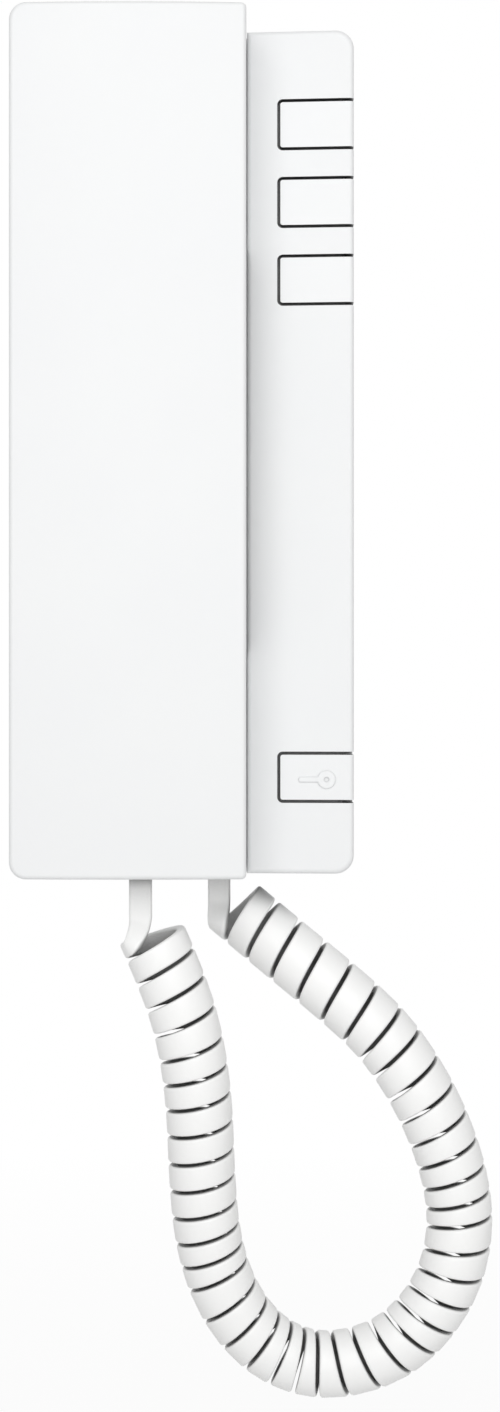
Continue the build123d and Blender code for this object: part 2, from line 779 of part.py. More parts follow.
def make_sound_slots():
    """Slots over the receiver and over the microphone."""
    slots = []
    for middle, count, length in ((ear_capsule_z, ear_slots, ear_slot_length),
                                  (mouth_capsule_z, mouth_slots, mouth_slot_length)):
        for row in range(count):
            low = middle + (row - (count - 1) / 2) * sound_slot_pitch - sound_slot_width / 2
            slots.append(slab(handset_middle - length / 2, handset_middle + length / 2,
                              low, low + sound_slot_width, pad_depth - overrun, pad_floor_depth + overrun))
    return slots


def make_handset_back(form):
    """Back shell of the handset: ear and mouth pads, arched grip, lip, screw sleeves and plug hole."""
    shell = form - handset_form(handset_wall) - handset_slab(seam_depth - seam_gap, handset_depth + overrun)
    lip_outside = handset_wall + lip_gap
    shell += handset_ring(lip_outside, lip_outside + lip_wall,
                          seam_depth - lip_height, seam_depth + lip_height)
    shell += handset_ring(handset_wall / 2, lip_outside + lip_wall, seam_depth - lip_height,
                          seam_depth - seam_gap - lip_gap)
    for z, radius in pads:
        shell += slanted_peg(handset_middle, z, radius, pad_depth, handset_back_depth + handset_wall / 2)
        shell -= peg(handset_middle, z - lift_shift / 2, radius - handset_wall - lift_shift / 2,
                     pad_floor_depth, handset_back_depth + handset_wall + overrun)
    for x, z in handset_screws:
        shell += hidden_peg(x, z, screw_boss_radius, handset_back_depth + handset_wall / 2,
                            pillar_depth - fit_gap)
        shell -= peg(x, z, screw_head_radius + screw_hole_gap, handset_back_depth - overrun, head_seat_depth)
        shell -= hidden_peg(x, z, screw_shank_radius + screw_hole_gap, handset_back_depth, pillar_depth)
    shell += slab(handset_lead_x - jack_width / 2, handset_lead_x + jack_width / 2, jack_bottom, jack_top,
                  handset_back_depth + handset_wall / 2, handset_lead_depth - jack_thickness / 2)
    shell += make_microphone_cup()
    return shell - handset_plug_hole() - make_sound_slots()


def make_handset_screws():
    """The two screws that close the handset, from its back."""
    return [make_screw(Plane(origin=(x, -head_seat_depth, z), z_dir=(0, -1, 0)), screw_length)
            for x, z in handset_screws]


def make_gasket():
    """Foam ring between the ear pad and the receiver."""
    front = pad_floor_depth + gasket_height
    ring = hidden_peg(handset_middle, ear_capsule_z, receiver_radius, pad_floor_depth, front)
    return ring - hidden_peg(handset_middle, ear_capsule_z, gasket_hole_radius,
                             pad_floor_depth - overrun, front + overrun)


def make_receiver():
    """Receiver capsule: a wide rim with the magnet's can in front of it."""
    back = pad_floor_depth + gasket_height
    rim = hidden_peg(handset_middle, ear_capsule_z, receiver_radius, back, back + receiver_rim_height)
    return rim + hidden_peg(handset_middle, ear_capsule_z, receiver_magnet_radius,
                            back, back + receiver_height)


def make_boot():
    """Rubber cup round the microphone, open to the mouth slots."""
    floor = pad_floor_depth + microphone_height
    outside = microphone_radius + boot_gap + boot_wall
    cup = hidden_peg(handset_middle, mouth_capsule_z, outside, pad_floor_depth, floor + boot_floor)
    return cup - hidden_peg(handset_middle, mouth_capsule_z, microphone_radius + boot_gap,
                            pad_floor_depth - overrun, floor)


def make_microphone():
    """Small round microphone."""
    return hidden_peg(handset_middle, mouth_capsule_z, microphone_radius, pad_floor_depth,
                      pad_floor_depth + microphone_height)


def make_jack(x, depth):
    """Socket for a cord's plug, open at the bottom."""
    half = jack_thickness / 2
    block = slab(x - jack_width / 2, x + jack_width / 2, jack_bottom, jack_top, depth - half, depth + half)
    return block - plug_cell(x, depth, jack_bottom - overrun, plug_top + plug_gap, plug_gap)


def make_plug(x, depth):
    """Small modular plug: a block with a sprung latch behind it and contact grooves in front."""
    half = plug_width / 2
    back = depth - plug_thickness / 2
    front = depth + plug_thickness / 2
    body = slab(x - half, x + half, plug_bottom, plug_top, back, front)
    for row in range(contact_count):
        left = x + (row - (contact_count - 1) / 2) * contact_pitch - contact_width / 2
        body -= slab(left, left + contact_width, plug_top - contact_length, plug_top + overrun,
                     front - contact_sink, front + overrun)
    latch = Plane.YZ * make_face(Polyline(
        (-back, plug_top),
        (latch_thickness - back, plug_top - latch_thickness),
        (latch_thickness + latch_drop - back, plug_bottom + latch_thickness),
        (latch_drop - back, plug_bottom + latch_thickness),
        (-back, plug_top - 2 * latch_thickness),
        close=True,
    ))
    return body + Pos(x - latch_width / 2, 0, 0) * extrude(latch, latch_width, dir=(1, 0, 0))


def make_lead(x, depth, low):
    """Straight end of the cord, from its plug down to the coil, with its flat side to the front."""
    return slab(x - cord_width / 2, x + cord_width / 2, low, plug_bottom,
                depth - cord_thickness / 2, depth + cord_thickness / 2)


def coil_axis():
    """Middle line of the coil: straight runs joined by arcs as large as the runs allow."""
    points = [Vector(x, y, base_bottom + z) for x, y, z in coil_route]
    radii = []
    for before, corner, after in zip(points, points[1:], points[2:]):
        arriving = corner - before
        leaving = after - corner
        turn = math.radians(arriving.get_angle(leaving))
        radii.append(route_arc_share * min(arriving.length, leaving.length) / math.tan(turn / 2))
    print("arcs of the coil's middle line:", [round(radius, 1) for radius in radii])
    return FilletPolyline(*points, radius=radii)


def axis_frame(axis, distance):
    """Point, direction, front and side of the coil's middle line at a distance along it."""
    point = axis.position_at(distance, position_mode=PositionMode.LENGTH)
    ahead = axis.tangent_at(distance, position_mode=PositionMode.LENGTH).normalized()
    front = Vector(0, -1, 0)
    front = (front - ahead * front.dot(ahead)).normalized()
    return point, ahead, front, ahead.cross(front)


def coil_turns(axis):
    """How many turns lie behind each of many evenly spaced steps, wider apart where the coil bends."""
    length = axis.length
    steps = cord_turns * sections_per_turn * 2
    tangents = [axis_frame(axis, length * step / steps)[1] for step in range(steps + 1)]
    lean = math.atan2(coil_pitch, math.tau * coil_radius)
    strand = (cord_width + coil_least_gap) / math.cos(lean)
    outer_radius = coil_radius + cord_thickness / 2
    turns = [0]
    for before, after in zip(tangents, tangents[1:]):
        bend = (after - before).length / (length / steps)
        pitch = max(coil_pitch, strand / (1 - outer_radius * bend))
        turns.append(turns[-1] + length / steps / pitch)
    whole = cord_turns + (exit_angle - entry_angle) / 360
    return [turn * whole / turns[-1] for turn in turns]


def coil_sections(axis):
    """Planes across the ribbon, evenly spaced round each turn, thickness first and width second."""
    turns = coil_turns(axis)
    steps = len(turns) - 1
    count = round(turns[-1] * sections_per_turn)
    stations = []
    step = 0
    for number in range(count + 1):
        wanted = turns[-1] * number / count
        while step < steps - 1 and turns[step + 1] < wanted:
            step += 1
        part = (wanted - turns[step]) / (turns[step + 1] - turns[step])
        distance = axis.length * (step + part) / steps
        point, ahead, front, side = axis_frame(axis, distance)
        angle = math.radians(entry_angle) + math.tau * wanted
        radial = front * math.cos(angle) + side * math.sin(angle)
        around = side * math.cos(angle) - front * math.sin(angle)
        pitch = axis.length / steps / (turns[step + 1] - turns[step])
        direction = (around * coil_radius + ahead * (pitch / math.tau)).normalized()
        stations.append(Plane(origin=point + radial * coil_radius, x_dir=radial, z_dir=direction))
    return stations


def joining_sections(start, end):
    """Planes across the ribbon on its way between a straight end and the coil."""
    reach = (end.origin - start.origin).length
    stations = []
    for number in range(1, lead_sections + 1):
        share = number / (lead_sections + 1)
        rest = 1 - share
        point = (start.origin * (rest * rest * (1 + 2 * share))
                 + end.origin * (share * share * (3 - 2 * share))
                 + start.z_dir * (reach * share * rest * rest) - end.z_dir * (reach * share * share * rest))
        direction = ((end.origin - start.origin) * (6 * share * rest)
                     + start.z_dir * (reach * rest * (1 - 3 * share))
                     + end.z_dir * (reach * share * (3 * share - 2))).normalized()
        across = start.x_dir * rest + end.x_dir * share
        across = (across - direction * across.dot(direction)).normalized()
        stations.append(Plane(origin=point, x_dir=across, z_dir=direction))
    return stations


def curl_sections():
    """All planes across the curly part of the cord, from the handset's end to the base's end."""
    coil = coil_sections(coil_axis())
    down = Vector(0, 0, -1)
    front = Vector(0, -1, 0)
    first_end = Vector(handset_lead_x, -handset_lead_depth, base_bottom - handset_lead_drop)
    last_end = Vector(base_lead_x, -base_lead_depth, base_bottom - base_lead_drop)
    start = Plane(origin=first_end, x_dir=front, z_dir=down)
    finish = Plane(origin=last_end, x_dir=front, z_dir=-down)
    top = Plane(origin=first_end - down * cord_width, x_dir=front, z_dir=down)
    tail = Plane(origin=last_end - down * cord_width, x_dir=front, z_dir=-down)
    return ([top, start] + joining_sections(start, coil[0]) + coil
            + joining_sections(coil[-1], finish) + [finish, tail])


def corners_of(plane):
    """The four corners of the ribbon's section."""
    return [plane.origin + plane.x_dir * (x * cord_thickness / 2) + plane.y_dir * (y * cord_width / 2)
            for x, y in ((-1, -1), (1, -1), (1, 1), (-1, 1))]


def gap_to_run(point, start, end):
    """Distance from a point to a straight run between two points."""
    run = end - start
    share = max(0, min(1, (point - start).dot(run) / run.dot(run)))
    return (point - start - run * share).length


def least_gap(sections):
    """Least distance between the ribbon and itself one turn on, measured from its corners."""
    corners = [corners_of(plane) for plane in sections]
    nearest = cord_width
    for number in range(len(corners) - sections_per_turn):
        last = min(number + sections_per_turn + sections_per_turn // 3, len(corners) - 1)
        for other in range(number + sections_per_turn - sections_per_turn // 3, last):
            for point in corners[number]:
                for start, end in zip(corners[other], corners[other + 1]):
                    nearest = min(nearest, gap_to_run(point, start, end))
    return nearest


def flat_sided_ribbon(sections):
    """One unbroken solid through all sections, with two flat triangles on each side of each step."""
    corners = [corners_of(plane) for plane in sections]
    faces = [Face(Wire.make_polygon(corners[0])), Face(Wire.make_polygon(corners[-1]))]
    for before, after in zip(corners, corners[1:]):
        for near in range(len(before)):
            far = (near + 1) % len(before)
            faces.append(Face(Wire.make_polygon([before[near], before[far], after[far]])))
            faces.append(Face(Wire.make_polygon([before[near], after[far], after[near]])))
    return Solid(Shell(faces))


def make_curls():
    """The curly part of the cord: one unbroken flat ribbon from lead to lead."""
    sections = curl_sections()
    ribbon = flat_sided_ribbon(sections)
    length = sum((after.origin - before.origin).length for before, after in zip(sections, sections[1:]))
    print("ribbon of the curls:", round(length, 1), "mm long, volume against section times length:",
          round(ribbon.volume / (length * cord_width * cord_thickness), 4))
    print("least gap between its turns:", round(least_gap(sections), 3), "mm")
    return ribbon


def write_part(name, shapes):
    """Write one piece, or a group of like pieces, under its name."""
    pieces = shapes if isinstance(shapes, list) else [shapes]
    solids = [solid for piece in pieces for solid in piece.solids()]
    export_step(Compound(solids) if len(solids) > 1 else solids[0], "parts/" + name + ".step")


os.makedirs("parts", exist_ok=True)
base_outside = rounded_base_form()
handset_outside = rounded_handset_form()

write_part("back_plate", make_back_plate())
write_part("base_cover", make_base_cover(base_outside))
write_part("cover_screw", make_cover_screw())
write_part("circuit_board", make_circuit_board())
write_part("board_screws", make_board_screws())
write_part("terminal_block", make_terminal_block())
write_part("terminal_screws", make_terminal_screws())
write_part("board_capacitors", make_capacitors())
write_part("buzzer", make_buzzer())
write_part("switch_bodies", make_switch_bodies())
write_part("hook_switch", make_hook_switch())
write_part("hook_spring", make_hook_spring())
write_part("hook_lever", make_hook_lever())
write_part("hook_pivot_pin", make_hook_pin())
for row, height in enumerate(button_zs):
    write_part("call_button_" + str(row + 1), make_button(base_outside, height))
    write_part("switch_plunger_" + str(row + 1), make_plunger(height))
write_part("door_button", make_button(base_outside, door_button_z))
write_part("door_switch_plunger", make_plunger(door_button_z))

write_part("handset_front", make_handset_front(handset_outside))
write_part("handset_back", make_handset_back(handset_outside))
write_part("handset_screws", make_handset_screws())
write_part("receiver_gasket", make_gasket())
write_part("receiver_capsule", make_receiver())
write_part("microphone_boot", make_boot())
write_part("microphone_capsule", make_microphone())

write_part("base_jack", make_jack(base_lead_x, base_lead_depth))
write_part("handset_jack", make_jack(handset_lead_x, handset_lead_depth))
write_part("cord_plug_base", make_plug(base_lead_x, base_lead_depth))
write_part("cord_plug_handset", make_plug(handset_lead_x, handset_lead_depth))
write_part("cord_lead_base",
           make_lead(base_lead_x, base_lead_depth, base_bottom - base_lead_drop + cord_width))
write_part("cord_lead_handset",
           make_lead(handset_lead_x, handset_lead_depth, base_bottom - handset_lead_drop + cord_width))
write_part("cord_curls", make_curls())
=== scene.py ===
import math

import bmesh
import bpy
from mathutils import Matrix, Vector


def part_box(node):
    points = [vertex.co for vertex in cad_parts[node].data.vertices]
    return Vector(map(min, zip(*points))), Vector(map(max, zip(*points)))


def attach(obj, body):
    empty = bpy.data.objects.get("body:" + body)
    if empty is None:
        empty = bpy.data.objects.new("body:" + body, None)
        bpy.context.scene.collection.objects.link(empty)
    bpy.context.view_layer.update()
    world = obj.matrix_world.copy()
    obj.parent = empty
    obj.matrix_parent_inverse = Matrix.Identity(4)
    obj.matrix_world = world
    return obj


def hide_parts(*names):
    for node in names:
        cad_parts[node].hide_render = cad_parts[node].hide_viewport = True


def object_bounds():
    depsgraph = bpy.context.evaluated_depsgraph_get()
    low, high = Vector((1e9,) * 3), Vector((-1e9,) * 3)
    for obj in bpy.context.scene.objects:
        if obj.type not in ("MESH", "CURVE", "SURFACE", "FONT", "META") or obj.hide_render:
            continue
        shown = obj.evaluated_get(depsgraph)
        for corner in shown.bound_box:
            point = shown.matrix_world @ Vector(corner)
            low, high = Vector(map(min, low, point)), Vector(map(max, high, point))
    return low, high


# Audio intercom handset on its wall base, with its curly cord hanging in a loop.
# Metres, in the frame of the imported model: X right, Z up, and the wall is Y = 0.

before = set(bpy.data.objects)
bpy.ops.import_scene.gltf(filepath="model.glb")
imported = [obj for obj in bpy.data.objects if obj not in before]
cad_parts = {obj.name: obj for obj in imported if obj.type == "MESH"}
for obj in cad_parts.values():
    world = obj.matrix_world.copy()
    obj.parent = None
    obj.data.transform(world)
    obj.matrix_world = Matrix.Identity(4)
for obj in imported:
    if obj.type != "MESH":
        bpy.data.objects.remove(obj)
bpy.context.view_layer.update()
scene = bpy.context.scene
mm = 0.001
to_front = Vector((0, -1, 0))
downward = Vector((0, 0, -1))


# Camera: level, square to the wall, and as far away as the photograph's perspective says

camera_place = Vector((16.4, -649.0, -64.35)) * mm
photo_height = 1412             # pixels
focal_pixels = 2456             # the lens, in pixels of the photograph
nearest_seen = 10 * mm
farthest_seen = 20.0

lens = bpy.data.cameras.new("camera")
lens.sensor_fit = "VERTICAL"
lens.lens = lens.sensor_height * focal_pixels / photo_height
lens.clip_start = nearest_seen
lens.clip_end = farthest_seen
camera = bpy.data.objects.new("camera", lens)
camera.location = camera_place
camera.rotation_euler = (math.pi / 2, 0, 0)
scene.collection.objects.link(camera)
scene.camera = camera


# Finishes

flow_size = 30 * mm             # of the faint clouds in moulded plastic
plastic_gloss_spread = 0.05     # how far the roughness strays to each side
metal_gloss_spread = 0.08
metal_mark_share = 0.05         # depth of a metal's marks, as a share of their size
plug_ripple_size = 2 * mm
plug_ripple_depth = 0.02 * mm
gap_rays = 8                    # rays that feel for walls in each spot of a gap


def linear(code):
    """A colour written as six hex digits, as linear light."""
    parts = [int(code[i:i + 2], 16) / 255 for i in (0, 2, 4)]
    light = [part / 12.92 if part <= 0.04045 else ((part + 0.055) / 1.055) ** 2.4
             for part in parts]
    return (*light, 1)


def add(tree, kind, inputs=(), **settings):
    """Adds a node, sets it up and links or fills its sockets."""
    node = tree.nodes.new(kind)
    for name, value in settings.items():
        setattr(node, name, value)
    for socket, value in dict(inputs).items():
        if isinstance(value, bpy.types.NodeSocket):
            tree.links.new(value, node.inputs[socket])
        else:
            node.inputs[socket].default_value = value
    return node


def new_finish(name):
    """An empty material with its output."""
    finish = bpy.data.materials.new(name)
    finish.use_nodes = True
    finish.node_tree.nodes.clear()
    return finish, finish.node_tree, add(finish.node_tree, "ShaderNodeOutputMaterial")


def paint_gap_shade(tree, colour, reach, dark, open_share, right_of=None):
    """Painted shade: a colour that sinks to a dark one in narrow gaps, where walls shut out light.

    It starts to sink where walls within the reach leave less than the share open, and is all
    dark where they leave nothing open. Where right_of is given, that is an X, and all left of
    it keeps the colour."""
    openness = add(tree, "ShaderNodeAmbientOcclusion", {"Distance": reach}, samples=gap_rays)
    lit = add(tree, "ShaderNodeMapRange", {"Value": openness.outputs["AO"], "From Max": open_share},
              interpolation_type="SMOOTHSTEP").outputs["Result"]
    if right_of is not None:
        place = add(tree, "ShaderNodeTexCoord").outputs["Object"]
        across = add(tree, "ShaderNodeSeparateXYZ", {0: place}).outputs["X"]
        elsewhere = add(tree, "ShaderNodeMath", {0: across, 1: right_of},
                        operation="LESS_THAN").outputs[0]
        lit = add(tree, "ShaderNodeMath", {0: lit, 1: elsewhere}, operation="MAXIMUM").outputs[0]
    return add(tree, "ShaderNodeMix", {0: lit, 6: linear(dark), 7: colour},
               data_type="RGBA").outputs[2]


def moulded(name, colour, shade, roughness, grain, depth, gap_painted_shade=None, **shader):
    """Moulded plastic or rubber: one colour with faint flow clouds, the grain of the mould, and
    painted shade in narrow gaps where that is given.
    """
    finish, tree, output = new_finish(name)
    place = add(tree, "ShaderNodeTexCoord").outputs["Object"]
    flow = add(tree, "ShaderNodeTexNoise", {"Vector": place, "Scale": 1 / flow_size, "Detail": 2.0})
    tone = add(tree, "ShaderNodeMix",
               {0: flow.outputs["Fac"], 6: linear(colour), 7: linear(shade)},
               data_type="RGBA").outputs[2]
    # Painted shade: where given, the colour is painted dark in narrow gaps.
    if gap_painted_shade:
        tone = paint_gap_shade(tree, tone, **gap_painted_shade)
    pits = add(tree, "ShaderNodeTexNoise", {"Vector": place, "Scale": 1 / grain, "Detail": 3.0})
    gloss = add(tree, "ShaderNodeMapRange", {
        "Value": pits.outputs["Fac"],
        "To Min": roughness - plastic_gloss_spread, "To Max": roughness + plastic_gloss_spread})
    bump = add(tree, "ShaderNodeBump", {
        "Height": pits.outputs["Fac"], "Distance": depth, "Strength": 1.0})
    plastic = add(tree, "ShaderNodeBsdfPrincipled", {
        "Base Color": tone, "Roughness": gloss.outputs["Result"],
        "Normal": bump.outputs["Normal"], **shader})
    tree.links.new(plastic.outputs["BSDF"], output.inputs["Surface"])
    return finish


def metal(name, colour, roughness, mark):
    """Bare or plated metal with the fine marks of its making."""
    finish, tree, output = new_finish(name)
    place = add(tree, "ShaderNodeTexCoord").outputs["Object"]
    marks = add(tree, "ShaderNodeTexNoise", {"Vector": place, "Scale": 1 / mark, "Detail": 4.0})
    gloss = add(tree, "ShaderNodeMapRange", {
        "Value": marks.outputs["Fac"],
        "To Min": roughness - metal_gloss_spread, "To Max": roughness + metal_gloss_spread})
    bump = add(tree, "ShaderNodeBump", {
        "Height": marks.outputs["Fac"], "Distance": mark * metal_mark_share})
    shader = add(tree, "ShaderNodeBsdfPrincipled", {
        "Base Color": linear(colour), "Metallic": 1.0, "Roughness": gloss.outputs["Result"],
        "Normal": bump.outputs["Normal"]})
    tree.links.new(shader.outputs["BSDF"], output.inputs["Surface"])
    return finish


def clear_plastic(name, colour, roughness):
    """Clear plastic: light passes through, and faint ripples bend it."""
    finish, tree, output = new_finish(name)
    place = add(tree, "ShaderNodeTexCoord").outputs["Object"]
    ripple = add(tree, "ShaderNodeTexNoise", {"Vector": place, "Scale": 1 / plug_ripple_size})
    bump = add(tree, "ShaderNodeBump", {
        "Height": ripple.outputs["Fac"], "Distance": plug_ripple_depth})
    shader = add(tree, "ShaderNodeBsdfPrincipled", {
        "Base Color": linear(colour), "Roughness": roughness, "IOR": 1.585,
        "Transmission Weight": 0.9, "Normal": bump.outputs["Normal"]})
    tree.links.new(shader.outputs["BSDF"], output.inputs["Surface"])
    return finish


# Painted shade: the narrow gaps round the buttons are painted nearly black where walls shut
# out light, so they read as black lines. On the cover they all lie right of a line that
# keeps the cradle and the strip's edge beside the handset out of this painted shade.
button_gap_painted_shade = {"reach": 3 * mm, "dark": "08080A", "open_share": 0.95}
cover_gap_painted_shade = {**button_gap_painted_shade, "right_of": 19 * mm}
# Painted shade: inside the coil and between its turns the cord's white is painted dark grey.
curl_gap_painted_shade = {"reach": 15 * mm, "dark": "5A5A5A", "open_share": 0.86}

# White ABS from a spark-eroded mould: matt, with a faint grain. The real grain, about
# 0.15 mm, is too fine to show, so it is drawn at 0.6 mm.
housing_abs = moulded("white_moulded_abs", "EDEEEE", "EAEBEC", 0.45, 0.6 * mm, 0.004 * mm,
                      IOR=1.54)
# The cover is the same ABS, with painted shade: dark lines painted round its button windows.
cover_abs_painted_shade = moulded("white_moulded_abs_cover_painted_gap_shade", "EDEEEE", "EAEBEC", 0.45, 0.6 * mm, 0.004 * mm,
                    gap_painted_shade=cover_gap_painted_shade, IOR=1.54)
# The buttons' ABS comes from a smoother mould, so it is a little glossier.
# Its colour gets painted shade in the narrow gaps round the buttons.
button_abs = moulded("white_button_abs", "EDEEEE", "EBECED", 0.40, 0.6 * mm, 0.003 * mm,
                     gap_painted_shade=button_gap_painted_shade, IOR=1.54)
# Soft white PVC of the curly cord: satin, with a skin that is barely uneven.
# Its colour gets painted shade inside the coil and between the curls.
cord_pvc = moulded("white_cord_pvc", "FCFCFB", "FAFAF9", 0.42, 1.2 * mm, 0.006 * mm,
                   gap_painted_shade=curl_gap_painted_shade, IOR=1.53)
# Black nylon of switches, sockets and terminals: dull, with a dry grain.
black_nylon = moulded("black_nylon", "1B1B1D", "232325", 0.55, 0.5 * mm, 0.006 * mm, IOR=1.53)
# Milky acetal of the hook lever and the switches' plungers: waxy and smooth.
white_acetal = moulded("white_acetal", "ECEBE6", "E6E5DF", 0.35, 0.8 * mm, 0.003 * mm, IOR=1.48)
# Green glass-fibre board under its solder mask: the weave shows as a fine ripple.
board_fr4 = moulded("green_solder_mask_on_fr4", "1F5C3A", "1A5234", 0.35, 0.7 * mm, 0.01 * mm,
                    IOR=1.55)
# Open-cell foam ring: dark, and its cells scatter all light.
foam = moulded("grey_open_cell_foam", "3A3A3C", "2C2C2E", 0.9, 0.8 * mm, 0.1 * mm)
# Black rubber cup of the microphone: dull and close-grained.
rubber = moulded("black_rubber", "18181A", "202022", 0.7, 0.5 * mm, 0.01 * mm, IOR=1.52)
# Sleeve of the capacitors: shrunk dark blue film, rather glossy.
capacitor_film = moulded("blue_shrink_film", "1C2A52", "22305A", 0.3, 1.0 * mm, 0.003 * mm)
# Zinc plating on steel screws: bright grey, faintly streaked.
zinc_steel = metal("zinc_plated_steel", "C3C6C9", 0.35, 0.3 * mm)
# Spring and pin of hard drawn steel: darker and smoother.
spring_steel = metal("drawn_spring_steel", "A9ABAE", 0.28, 0.2 * mm)
# Pressed cans of receiver and microphone: pale and satin.
pressed_aluminium = metal("pressed_aluminium", "C9CBCE", 0.4, 0.4 * mm)
# Clear polycarbonate of the cord's plugs: glassy, with a faint grey edge.
plug_polycarbonate = clear_plastic("clear_polycarbonate", "F2F6F8", 0.08)

node_finishes = {
    "back_plate": housing_abs,
    "base_cover": cover_abs_painted_shade,
    "handset_front": housing_abs,
    "handset_back": housing_abs,
    "call_button_1": button_abs,
    "call_button_2": button_abs,
    "call_button_3": button_abs,
    "door_button": button_abs,
    "hook_lever": white_acetal,
    "switch_plunger_1": white_acetal,
    "switch_plunger_2": white_acetal,
    "switch_plunger_3": white_acetal,
    "door_switch_plunger": white_acetal,
    "switch_bodies": black_nylon,
    "hook_switch": black_nylon,
    "terminal_block": black_nylon,
    "base_jack": black_nylon,
    "handset_jack": black_nylon,
    "buzzer": black_nylon,
    "circuit_board": board_fr4,
    "board_capacitors": capacitor_film,
    "receiver_gasket": foam,
    "microphone_boot": rubber,
    "receiver_capsule": pressed_aluminium,
    "microphone_capsule": pressed_aluminium,
    "cover_screw": zinc_steel,
    "board_screws": zinc_steel,
    "terminal_screws": zinc_steel,
    "handset_screws": zinc_steel,
    "hook_pivot_pin": spring_steel,
    "hook_spring": spring_steel,
    "cord_plug_base": plug_polycarbonate,
    "cord_plug_handset": plug_polycarbonate,
}

for name, finish in node_finishes.items():
    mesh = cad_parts[name].data
    mesh.materials.clear()
    mesh.materials.append(finish)


def new_piece(name, mesh, finish, smooth=True):
    """Turns a finished mesh into an object of the scene."""
    data = bpy.data.meshes.new(name)
    mesh.to_mesh(data)
    mesh.free()
    for face in data.polygons:
        face.use_smooth = smooth
    data.materials.append(finish)
    piece = bpy.data.objects.new(name, data)
    scene.collection.objects.link(piece)
    return piece


# Curly cord: a flat ribbon, wound to the right round a middle line that hangs in a loop

ribbon_width = 5.8 * mm         # of the leads; a curl is as wide as the gaps beside it leave it
ribbon_thickness = 2.3 * mm
ribbon_corner = 0.7 * mm
corner_steps = 4
curl_gap = 0.95 * mm            # between two curls
curl_gap_at_base = 1.15 * mm    # to which the gap widens over the last stretch
last_stretch = 75 * mm
curl_radius = 7.3 * mm          # to the middle of the ribbon
entry_angle = 60.0              # degrees round the coil, from its front, at the handset's end
exit_angle = 285.0              # and at the base's end
edge_angle = 180.0              # where the ribbon's middle is when its edge shows in front
rings_per_turn = 28
turn_steps = 2000               # along the coil, for its count of turns
evening_steps = 12              # to each side, over which that count is evened out
route_fineness = 24             # points of the middle line for each point of its route
look_ahead = 2 * mm             # along the middle line, for its direction
lead_rings = 12
lead_pull = 1.2                 # how long a lead keeps its direction, as a share of its way
handset_lead_hold = 1.8         # above 1, the lead turns its flat side late on its way
base_lead_hold = 0.6            # below 1, it turns early
plug_bite = 2.0 * mm            # how far a lead reaches into its plug
handset_lead_end = Vector((-11.2, -29.5, -117.5)) * mm
base_lead_end = Vector((8.4, -12.0, -114.5)) * mm

# Where each edge between two curls crosses the coil's middle line, seen from the front, in
# millimetres along that line: they crowd and spread as in any cord that hangs by its own
# weight. The first is the upper edge of the first curl, the last the far edge of the last.
front_edges = [
    1.5, 8.6, 15.8, 23.2, 30.7, 37.1, 43.9, 51.0, 58.2, 65.3, 72.3, 78.8, 84.7, 89.8, 97.7,
    104.9, 111.4, 117.2, 122.5, 127.3, 133.4, 140.5, 147.5, 154.0, 159.7, 166.0, 172.6, 179.4,
    186.9, 192.1, 198.1, 204.5, 211.3, 218.5, 225.7, 233.5, 239.7, 247.1, 255.3, 263.8, 272.5,
    280.5, 287.5,
]

# Route of the middle line in millimetres, from the handset's end to the base's. It is the
# route of the solid cord, moved by less than 10 mm to follow the photograph.
coil_route = [
    (-8.3, -27.5, -122.5), (-2.3, -27.5, -136.1), (1.5, -26.8, -149.7), (3.6, -25.0, -165.7),
    (4.1, -22.3, -184.0), (5.5, -19.6, -201.5), (10.4, -17.2, -216.8), (18.9, -15.4, -228.2),
    (29.2, -14.5, -233.9), (40.2, -14.2, -234.7), (52.8, -14.8, -230.5), (62.2, -15.2, -221.9),
    (68.6, -15.6, -210.7), (70.9, -16.0, -197.3), (68.9, -16.8, -184.0), (64.3, -17.4, -171.0),
    (58.3, -17.6, -159.5), (50.2, -17.0, -148.1), (38.6, -15.2, -137.8), (25.3, -12.7, -127.2),
    (12.8, -10.4, -116.9),
]


def smooth_line(points):
    """Points along a smooth line that follows a route."""
    curve = bpy.data.curves.new("route", "CURVE")
    curve.dimensions = "3D"
    curve.resolution_u = route_fineness
    spline = curve.splines.new("NURBS")
    spline.points.add(len(points) - 1)
    for point, place in zip(spline.points, points):
        point.co = (*(Vector(place) * mm), 1)
    spline.order_u = 3
    spline.use_endpoint_u = True
    carrier = bpy.data.objects.new("route", curve)
    scene.collection.objects.link(carrier)
    mesh = bpy.data.meshes.new_from_object(carrier)
    line = [vertex.co.copy() for vertex in mesh.vertices]
    bpy.data.meshes.remove(mesh)
    bpy.data.objects.remove(carrier)
    bpy.data.curves.remove(curve)
    return line


class MiddleLine:
    """The coil's middle line, read by distance along it."""

    def __init__(self, points):
        self.points = points
        self.marks = [0.0]
        for before, after in zip(points, points[1:]):
            self.marks.append(self.marks[-1] + (after - before).length)
        self.length = self.marks[-1]
        self.near = 0

    def point(self, distance):
        """The place at a distance. Past either end, the line goes on straight."""
        while self.near > 0 and self.marks[self.near] > distance:
            self.near -= 1
        while self.near < len(self.marks) - 2 and self.marks[self.near + 1] < distance:
            self.near += 1
        low, high = self.marks[self.near], self.marks[self.near + 1]
        share = (distance - low) / (high - low)
        return self.points[self.near].lerp(self.points[self.near + 1], share)

    def ahead(self, distance):
        """The line's direction at a distance."""
        return (self.point(distance + look_ahead) - self.point(distance - look_ahead)).normalized()

    def out(self, distance, angle):
        """The direction that stands off the line at an angle round it, from the front."""
        ahead = self.ahead(distance)
        front = (to_front - ahead * to_front.dot(ahead)).normalized()
        return front * math.cos(angle) + ahead.cross(front) * math.sin(angle)

    def beside(self, distance, angle, radius):
        """The place at a radius from the line, at an angle round it."""
        return self.point(distance) + self.out(distance, angle) * radius


